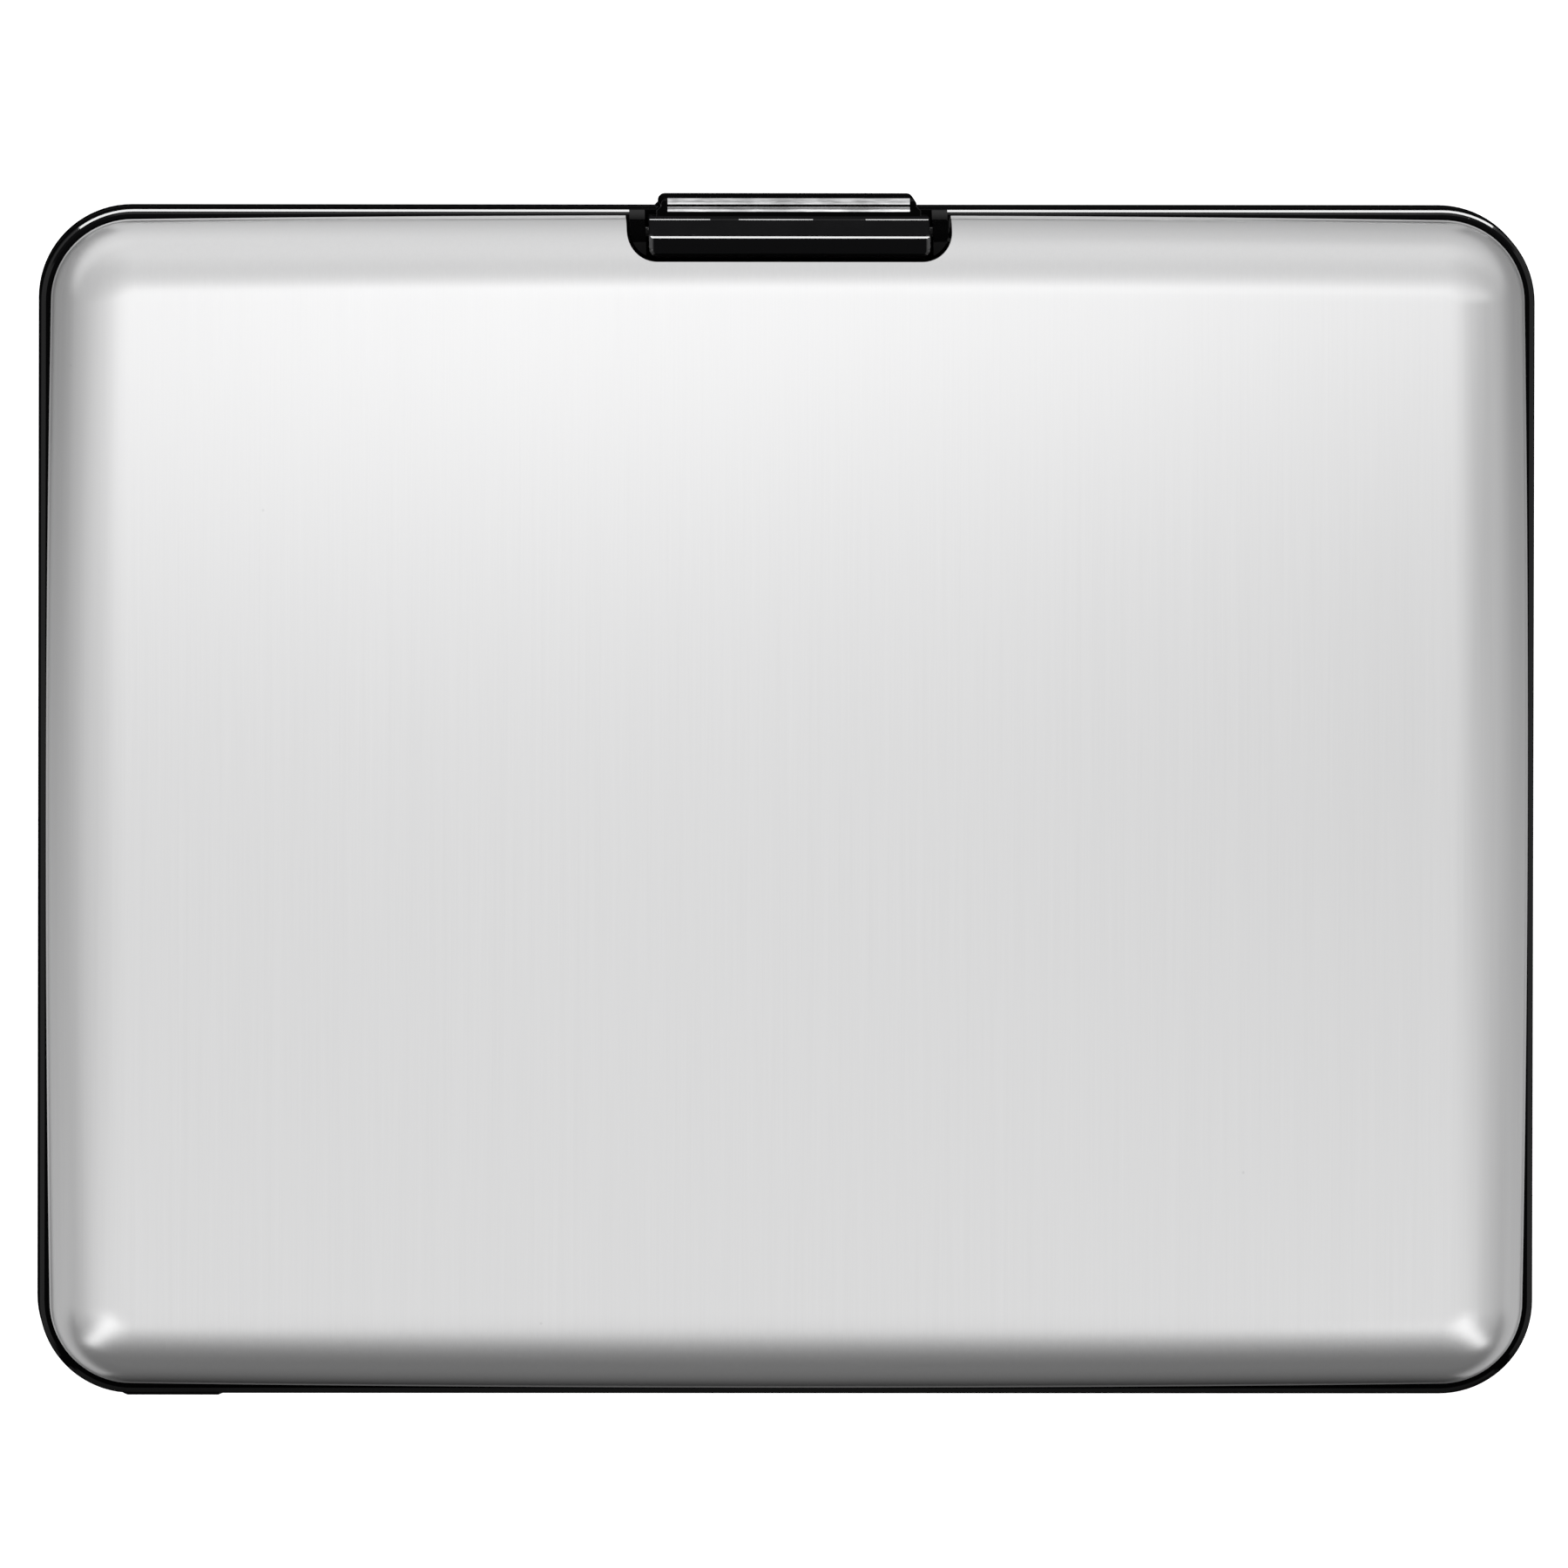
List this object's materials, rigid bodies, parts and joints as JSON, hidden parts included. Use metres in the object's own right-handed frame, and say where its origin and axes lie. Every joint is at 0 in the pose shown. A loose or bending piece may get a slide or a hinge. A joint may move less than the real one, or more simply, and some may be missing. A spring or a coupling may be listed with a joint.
{
  "type": "aluminium wallet",
  "caption": "Flat aluminium clamshell wallet with moulded frames, a pin hinge, a pressed snap clasp and a pleated card pouch that fans open.",
  "frame": {"origin": "centre of the back shell's flat outer face, on which the wallet lies", "axes": "+Z out of the front face, +Y towards the clasp, +X along the hinge"},
  "size_m": [0.125, 0.1006, 0.024],
  "materials": {
    "brushed_aluminium": "fine straight brushing, clear anodised, satin",
    "gloss_black": "gloss black moulded plastic",
    "bright_steel": "bright steel pins and leaf spring",
    "pouch_board": "dark matt board with a woven face",
    "pouch_fabric": "thin black coated weave"
  },
  "bodies": {
    "back": {"back_shell": "brushed_aluminium", "back_frame": "gloss_black", "hinge_pin": "bright_steel", "pouch_back_board": "pouch_board", "gusset_left": "pouch_fabric", "gusset_right": "pouch_fabric", "pouch_bottom": "pouch_fabric"},
    "lid": {"front_shell": "brushed_aluminium", "front_frame": "gloss_black", "clasp_pin": "bright_steel", "clasp_spring": "bright_steel", "pouch_front_board": "pouch_board"},
    "clasp_rocker": {"clasp": "gloss_black"},
    "leaf_1": {"divider_1": "pouch_board"},
    "leaf_2": {"divider_2": "pouch_board"},
    "leaf_3": {"divider_3": "pouch_board"},
    "leaf_4": {"divider_4": "pouch_board"},
    "leaf_5": {"divider_5": "pouch_board"},
    "leaf_6": {"divider_6": "pouch_board"}
  },
  "joints": [
    {"name": "lid_hinge", "type": "hinge", "parent": "back", "child": "lid", "pos_m": [0, -0.0479, 0.012], "axis": [1, 0, 0], "range_deg": [0, 70], "deforming": ["gusset_left", "gusset_right", "pouch_bottom"]},
    {"name": "clasp_press", "type": "hinge", "parent": "lid", "child": "clasp_rocker", "pos_m": [0, 0.0477, 0.0198], "axis": [1, 0, 0], "range_deg": [0, 5], "stiffness_Nm_per_rad": 0.05, "springref_deg": -5.73},
    {"name": "leaf_1_hinge", "type": "hinge", "parent": "back", "child": "leaf_1", "pos_m": [0, -0.0479, 0.012], "axis": [1, 0, 0], "range_deg": [0, 10.5]},
    {"name": "leaf_2_hinge", "type": "hinge", "parent": "back", "child": "leaf_2", "pos_m": [0, -0.0479, 0.012], "axis": [1, 0, 0], "range_deg": [0, 20.5]},
    {"name": "leaf_3_hinge", "type": "hinge", "parent": "back", "child": "leaf_3", "pos_m": [0, -0.0479, 0.012], "axis": [1, 0, 0], "range_deg": [0, 30.5]},
    {"name": "leaf_4_hinge", "type": "hinge", "parent": "back", "child": "leaf_4", "pos_m": [0, -0.0479, 0.012], "axis": [1, 0, 0], "range_deg": [0, 40.5]},
    {"name": "leaf_5_hinge", "type": "hinge", "parent": "back", "child": "leaf_5", "pos_m": [0, -0.0479, 0.012], "axis": [1, 0, 0], "range_deg": [0, 50.5]},
    {"name": "leaf_6_hinge", "type": "hinge", "parent": "back", "child": "leaf_6", "pos_m": [0, -0.0479, 0.012], "axis": [1, 0, 0], "range_deg": [0, 60.5]}
  ],
  "couplings": [
    {"joint": "leaf_1_hinge", "follows": "lid_hinge", "ratio": 0.14286},
    {"joint": "leaf_2_hinge", "follows": "lid_hinge", "ratio": 0.28571},
    {"joint": "leaf_3_hinge", "follows": "lid_hinge", "ratio": 0.42857},
    {"joint": "leaf_4_hinge", "follows": "lid_hinge", "ratio": 0.57143},
    {"joint": "leaf_5_hinge", "follows": "lid_hinge", "ratio": 0.71429},
    {"joint": "leaf_6_hinge", "follows": "lid_hinge", "ratio": 0.85714}
  ]
}
